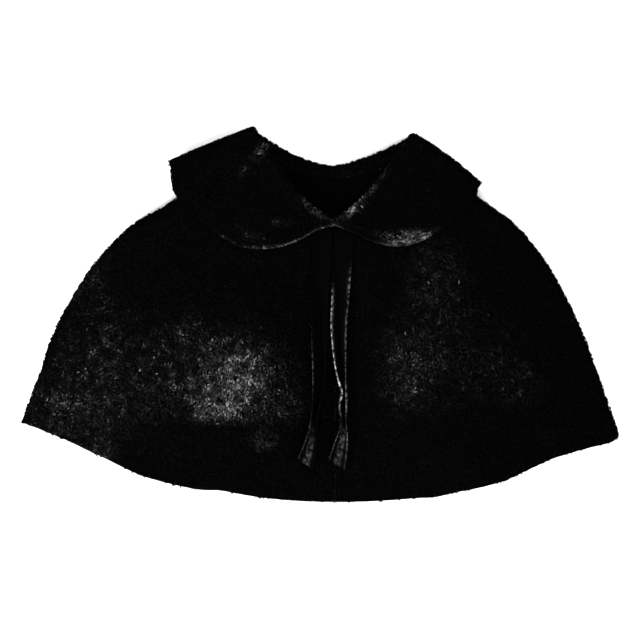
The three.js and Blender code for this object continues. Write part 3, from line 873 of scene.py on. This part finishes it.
# locks laid along the collar's turned edge, densest at the edge itself
def growRimLocks(grid, thickness, arounds):
    draw = np.random.default_rng(rimNap["seed"])
    count = rimNap["count"]
    last = grid.shape[1] - 1
    front = np.arange(len(arounds))[(arounds <= 1) | (arounds >= 5)]
    row = np.clip(draw.choice(front, count) + draw.uniform(-0.5, 0.5, count), 0, len(arounds) - 1)
    inward = rimNap["reach"] * draw.random(count) ** 2
    step = np.linalg.norm(grid[:, -1] - grid[:, -2], axis=-1)
    column = last - inward / step[row.astype(int)]

    # the rim locks' tone: painted highlight, strongest at the edge
    def rimHighlightTone(point, draw):
        x = point[..., 0]
        at = [entry["x"] for entry in rimHighlightRows]
        strength = np.interp(x, at, [entry["strength"] for entry in rimHighlightRows])
        width = np.interp(x, at, [entry["width"] for entry in rimHighlightRows])
        return toneOf(strength * np.exp(-(inward / width) ** 2), point, draw)

    return growLocks(grid, thickness, row, column, draw, rimHighlightTone, downAxis=1, along=rimNap["stray"])


print("cape body")
rings = spread(0, 1, **fronts["down"])
turned = spread(0, 1, **fronts["turn"])
pieces, naps = {}, {}

for side in ("left", "right"):
    places = np.concatenate([turned[:-1], spread(1, 2, **fronts[side])])
    grid = gridOf(lambda ring, place: frontPoint(side, ring, place), rings, places)
    glow = glowOf(frontPaintedHighlight(grid), grid)
    pieces["front_" + side] = layCloth("wool_front_" + side, grid, cape["thickness"], paintedShine=glow)
    naps["front_" + side] = layNap("nap_front_" + side, grid, cape["thickness"], fronts["locks"],
                                   fronts["seed"][side], frontTone, face=fronts["facing"][side])

rings = spread(0, 1, **back["down"])
turned = spread(0, 1, **back["turn"])
places = np.concatenate([turned[:-1], spread(1, 3, **back["across"]), 4 - turned[-2::-1]])
grid = gridOf(backPoint, rings, places)
grid[..., 2] += back["lifted"]
pieces["back"] = layCloth("wool_back", grid, back["thickness"])
naps["back"] = layNap("nap_back", grid, back["thickness"], back["locks"], back["seed"], backTone,
                      face=-1, lift=back["lift"])

print("collar")
arounds = np.concatenate([
    spread(0, 1, **collarMesh["front"])[:-1], spread(1, 2, **collarMesh["shoulder"])[:-1],
    spread(2, 4, **collarMesh["back"])[:-1], spread(4, 5, **collarMesh["shoulder"])[:-1],
    spread(5, 6, **collarMesh["front"]),
])
places = np.concatenate([
    spread(0, 1, **collarMesh["stand"])[:-1], spread(1, 2, **collarMesh["roll"])[:-1],
    spread(2, 3, **collarMesh["fall"]),
])
grid = np.stack([sectionPoints(stationAt(around), places) for around in arounds])
onTop = (arounds <= 1) | (arounds >= 5)
glow = glowOf(collarPaintedHighlight(grid), grid) * onTop[:, None]
pieces["collar"] = layCloth("wool_collar", grid, collar["thickness"], paintedShine=glow)
draw = np.random.default_rng(collarMesh["seed"])
row, column = scatter(grid, collarMesh["locks"], draw)
locks = growLocks(grid, collar["thickness"], row, column, draw, collarTone, downAxis=1)
rimLocks = growRimLocks(grid, collar["thickness"], arounds)
naps["collar"] = joinLocks("nap_collar", *(np.concatenate(both) for both in zip(locks, rimLocks)))

print("ties")
downs = spread(0, 1, **tieMesh["down"])
for side in ("left", "right"):
    grid = gridOf(lambda share, place: tiePoint(ties[side], share, place), downs, tieMesh["across"])
    paintedShine = gridOf(lambda share, place: paintedTieShine(ties[side], share, place), downs, tieMesh["across"])
    pieces["tie_" + side] = layCloth("ribbon_tie_" + side, grid, ribbon["thickness"], paintedShine=paintedShine)


# Materials

def linearColour(hexColour):
    channels = [int(hexColour[i:i + 2], 16) / 255 for i in (1, 3, 5)]
    linear = [c / 12.92 if c <= 0.04045 else ((c + 0.055) / 1.055) ** 2.4 for c in channels]
    return (*linear, 1.0)


# adds a node, sets its properties and sockets, and links what is a socket
def addNode(tree, kind, sockets=None, **settings):
    node = tree.nodes.new("ShaderNode" + kind)
    for name, value in settings.items():
        setattr(node, name, value)
    for name, value in (sockets or {}).items():
        if isinstance(value, bpy.types.NodeSocket):
            tree.links.new(value, node.inputs[name])
        else:
            node.inputs[name].default_value = value
    return node


def newMaterial(name):
    material = bpy.data.materials.new(name)
    material.use_nodes = True
    material.node_tree.nodes.clear()
    return material, material.node_tree


# napped wool coating: nearly black and quite matt, so that only the curly pile shows on it; its grey is for
# painted highlight
wool = dict(dark="#010101", light="#020202", wearAndHighlight="#6a6a6c", curl=4.0, curlDetail=3.0, curlTwist=1.2,
            fibre=0.9, fibreDetail=2.0, tuftFrom=0.4, tuftTo=0.62, tuftMost=1.6,
            coarse=1.2, coarseStrength=0.9, fine=0.4, fineStrength=0.6,
            roughness=0.95, gloss=0.0, sheen=0.1, sheenRoughness=0.15)


def nappedWool():
    material, tree = newMaterial("napped_wool")
    place = addNode(tree, "UVMap", uv_map="cloth").outputs["UV"]
    curls = addNode(tree, "TexNoise", {"Vector": place, "Scale": 1 / (wool["curl"] * metre),
                                       "Detail": wool["curlDetail"], "Distortion": wool["curlTwist"]})
    fibres = addNode(tree, "TexNoise", {"Vector": place, "Scale": 1 / (wool["fibre"] * metre),
                                        "Detail": wool["fibreDetail"]})
    colour = addNode(tree, "Mix", {"Factor": curls.outputs["Fac"], "A": linearColour(wool["dark"]),
                                   "B": linearColour(wool["light"])}, data_type="RGBA")
    # the cloth's painted highlight, broken into tufts, mixes in the grey
    wearAndHighlight = addNode(tree, "Attribute", attribute_name="paintedShine").outputs["Fac"]
    tufts = addNode(tree, "MapRange", {"Value": curls.outputs["Fac"], "From Min": wool["tuftFrom"],
                                       "From Max": wool["tuftTo"], "To Max": wool["tuftMost"]})
    tufted = addNode(tree, "Math", {0: wearAndHighlight, 1: tufts.outputs["Result"]}, operation="MULTIPLY")
    colour = addNode(tree, "Mix", {"Factor": tufted.outputs["Value"], "A": colour.outputs["Result"],
                                   "B": linearColour(wool["wearAndHighlight"])}, data_type="RGBA")
    coarse = addNode(tree, "Bump", {"Height": curls.outputs["Fac"], "Strength": wool["coarseStrength"],
                                    "Distance": wool["coarse"] * metre})
    fine = addNode(tree, "Bump", {"Height": fibres.outputs["Fac"], "Strength": wool["fineStrength"],
                                  "Distance": wool["fine"] * metre, "Normal": coarse.outputs["Normal"]})
    surface = addNode(tree, "BsdfPrincipled", {
        "Base Color": colour.outputs["Result"], "Roughness": wool["roughness"],
        "Normal": fine.outputs["Normal"], "Specular IOR Level": wool["gloss"],
        "Sheen Weight": wool["sheen"], "Sheen Roughness": wool["sheenRoughness"],
    })
    addNode(tree, "OutputMaterial", {"Surface": surface.outputs["BSDF"]})
    return material


# locks of the nap: black wool fibre, dull, painted greyer and made silkier where their tone carries wear
# and painted highlight
lock = dict(dark="#010101", wearAndHighlight="#6a6a6c", dull=0.9, silky=0.5, gloss=0.008,
            sheen=0.007, sheenRoughness=0.2)


def woolLocks():
    material, tree = newMaterial("wool_locks")
    wearAndHighlight = addNode(tree, "Attribute", attribute_name="tone").outputs["Fac"]
    colour = addNode(tree, "Mix", {"Factor": wearAndHighlight, "A": linearColour(lock["dark"]),
                                   "B": linearColour(lock["wearAndHighlight"])}, data_type="RGBA")
    roughness = addNode(tree, "MapRange", {"Value": wearAndHighlight, "To Min": lock["dull"],
                                           "To Max": lock["silky"]})
    surface = addNode(tree, "BsdfPrincipled", {
        "Base Color": colour.outputs["Result"], "Roughness": roughness.outputs["Result"],
        "Specular IOR Level": lock["gloss"],
        "Sheen Weight": lock["sheen"], "Sheen Roughness": lock["sheenRoughness"],
    })
    addNode(tree, "OutputMaterial", {"Surface": surface.outputs["BSDF"]})
    return material


# ribbon: dull black, finely ribbed across, with painted highlight in a thin, broken grey line along its
# woven edges
ribbing = dict(colour="#020202", paintedGlint="#8c8c8e", rib=1.776, ribStrength=0.2, ribHeight=0.1,
               uneven=4.0, unevenFrom=0.44, unevenTo=0.6, leastGlint=0.05, roughness=0.7, gloss=0.0)
waveOfOne = 2 * math.pi / 20  # from rib to rib in the wave texture at a scale of 1


def ribbedRibbon():
    material, tree = newMaterial("ribbed_ribbon")
    place = addNode(tree, "UVMap", uv_map="cloth").outputs["UV"]
    ribs = addNode(tree, "TexWave", {"Vector": place, "Scale": waveOfOne / (ribbing["rib"] * metre)},
                   bands_direction="Y")
    relief = addNode(tree, "Bump", {"Height": ribs.outputs["Fac"], "Strength": ribbing["ribStrength"],
                                    "Distance": ribbing["ribHeight"] * metre})
    paintedShine = addNode(tree, "Attribute", attribute_name="paintedShine").outputs["Fac"]
    patches = addNode(tree, "TexNoise", {"Vector": place, "Scale": 1 / (ribbing["uneven"] * metre)})
    uneven = addNode(tree, "MapRange", {
        "Value": patches.outputs["Fac"], "From Min": ribbing["unevenFrom"],
        "From Max": ribbing["unevenTo"], "To Min": ribbing["leastGlint"],
    })
    paintedGlint = addNode(tree, "Math", {0: paintedShine, 1: uneven.outputs["Result"]}, operation="MULTIPLY")
    colour = addNode(tree, "Mix", {"Factor": paintedGlint.outputs["Value"], "A": linearColour(ribbing["colour"]),
                                   "B": linearColour(ribbing["paintedGlint"])}, data_type="RGBA")
    surface = addNode(tree, "BsdfPrincipled", {
        "Base Color": colour.outputs["Result"], "Roughness": ribbing["roughness"],
        "Normal": relief.outputs["Normal"], "Specular IOR Level": ribbing["gloss"],
    })
    addNode(tree, "OutputMaterial", {"Surface": surface.outputs["BSDF"]})
    return material


print("materials")
woolMaterial, lockMaterial, ribbonMaterial = nappedWool(), woolLocks(), ribbedRibbon()
for name, piece in pieces.items():
    piece.data.materials.append(ribbonMaterial if name.startswith("tie") else woolMaterial)
    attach(piece, "root")
    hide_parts(name)
for piece in naps.values():
    piece.data.materials.append(lockMaterial)
    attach(piece, "root")

for side, width, area in (("left", 0.32, 0.077), ("right", 0.3, 0.07)):
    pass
for side in ("left", "right"):
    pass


# Floor, light and camera

print("studio")
studio = dict(floor="#f4f4f4", floorSize=8, floorZ=-0.0006, floorRoughness=0.9, world="#f4f4f4",
              ambient=0.15, cameraHeight=2.0, lens=112.5, aimX=-0.0005, aimY=-0.005)
softboxes = [
    dict(name="key", place=(-1.25, -0.95, 0.72), aim=(-0.02, -0.05, 0), size=0.45, power=90),
    dict(name="fill_right", place=(1.9, 0.4, 1.5), aim=(0, 0, 0), size=1.6, power=60),
    dict(name="fill_far", place=(-0.5, 1.9, 1.5), aim=(0, 0, 0), size=1.6, power=60),
    dict(name="fill_near", place=(0.5, -1.9, 1.5), aim=(0, 0, 0), size=1.6, power=60),
]

bpy.ops.mesh.primitive_plane_add(size=studio["floorSize"], location=(0, 0, studio["floorZ"]))
floor = bpy.context.object
floor.name = "floor"
floorMaterial, tree = newMaterial("pale_paper")
surface = addNode(tree, "BsdfPrincipled", {"Base Color": linearColour(studio["floor"]),
                                           "Roughness": studio["floorRoughness"]})
addNode(tree, "OutputMaterial", {"Surface": surface.outputs["BSDF"]})
floor.data.materials.append(floorMaterial)

world = bpy.data.worlds.new("studio")
bpy.context.scene.world = world
world.use_nodes = True
background = world.node_tree.nodes["Background"]
background.inputs["Color"].default_value = linearColour(studio["world"])
background.inputs["Strength"].default_value = studio["ambient"]


def addSoftbox(name, place, aim, size, power):
    bpy.ops.object.light_add(type="AREA", location=place)
    light = bpy.context.object
    light.name = name
    light.data.shape = "DISK"
    light.data.size = size
    light.data.energy = power
    light.rotation_euler = (Vector(place) - Vector(aim)).to_track_quat("Z", "Y").to_euler()


for box in softboxes:
    addSoftbox(**box)

bpy.ops.object.camera_add(location=(studio["aimX"], studio["aimY"], studio["cameraHeight"]))
camera = bpy.context.object
camera.data.lens = studio["lens"]
bpy.context.scene.camera = camera
bpy.context.scene.view_settings.view_transform = "Standard"
